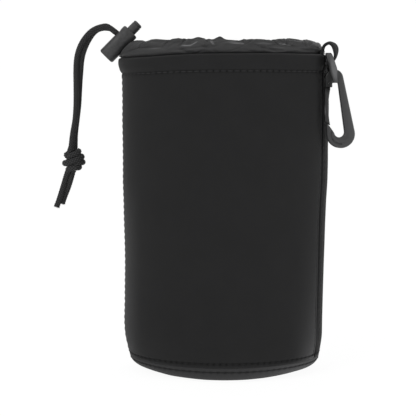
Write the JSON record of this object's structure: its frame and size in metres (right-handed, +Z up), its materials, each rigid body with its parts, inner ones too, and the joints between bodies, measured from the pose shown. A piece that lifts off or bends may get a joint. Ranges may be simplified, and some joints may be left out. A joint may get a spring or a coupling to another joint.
{
  "type": "lens pouch",
  "caption": "Soft oval drawcord pouch with a hemmed foam-rubber wall, a gathered collar closed by a push-button cord lock, and a sprung snap hook in a side tape loop.",
  "frame": {"origin": "centre of the flat bottom face that the pouch stands on", "axes": "+Z up towards the mouth, -Y out of the front wall, +X towards the side with the tape loop and snap hook"},
  "size_m": [0.1633, 0.0801, 0.1919],
  "materials": {
    "foam_cloth": "closed-cell foam rubber faced with fine knitted cloth, matt",
    "nylon": "thin plain-weave nylon with a soft sheen",
    "cord": "braided round cord, matt",
    "tape": "narrow woven tape, matt",
    "lock_plastic": "moulded, fine satin",
    "hook_plastic": "moulded, satin",
    "gate_plastic": "moulded, satin",
    "steel": "bright spring steel"
  },
  "bodies": {
    "pouch": {"front_panel": "foam_cloth", "back_panel": "foam_cloth", "base_panel": "foam_cloth", "collar": "nylon", "drawcord_loop": "cord", "cord_strand_front": "cord", "cord_strand_back": "cord", "cord_knot": "cord", "cord_tail_left": "cord", "cord_tail_right": "cord", "tape_loop": "tape"},
    "cord_lock": {"lock_barrel": "lock_plastic", "lock_spring": "steel"},
    "lock_button": {"lock_plunger": "lock_plastic"},
    "hook": {"clip_frame": "hook_plastic", "gate_pin": "steel", "gate_spring": "steel"},
    "gate": {"clip_gate": "gate_plastic"}
  },
  "joints": [
    {"name": "lock_slide", "type": "slide", "parent": "pouch", "child": "cord_lock", "axis": [-0.8, 0, 0.6], "range_m": [0, 0.004]},
    {"name": "lock_press", "type": "slide", "parent": "cord_lock", "child": "lock_button", "axis": [-0.7071, 0, -0.7071], "range_m": [0, 0.003], "stiffness_N_per_m": 900, "springref_m": -0.003, "deforming": ["lock_spring"]},
    {"name": "hook_swing", "type": "hinge", "parent": "pouch", "child": "hook", "pos_m": [0.05491, -0.01936, 0.1723], "axis": [0, -1, 0], "range_deg": [0, 90]},
    {"name": "gate_swing", "type": "hinge", "parent": "hook", "child": "gate", "pos_m": [0.05481, -0.01936, 0.158], "axis": [0, -1, 0], "range_deg": [0, 16], "stiffness_Nm_per_rad": 0.02, "springref_deg": -20.05}
  ]
}
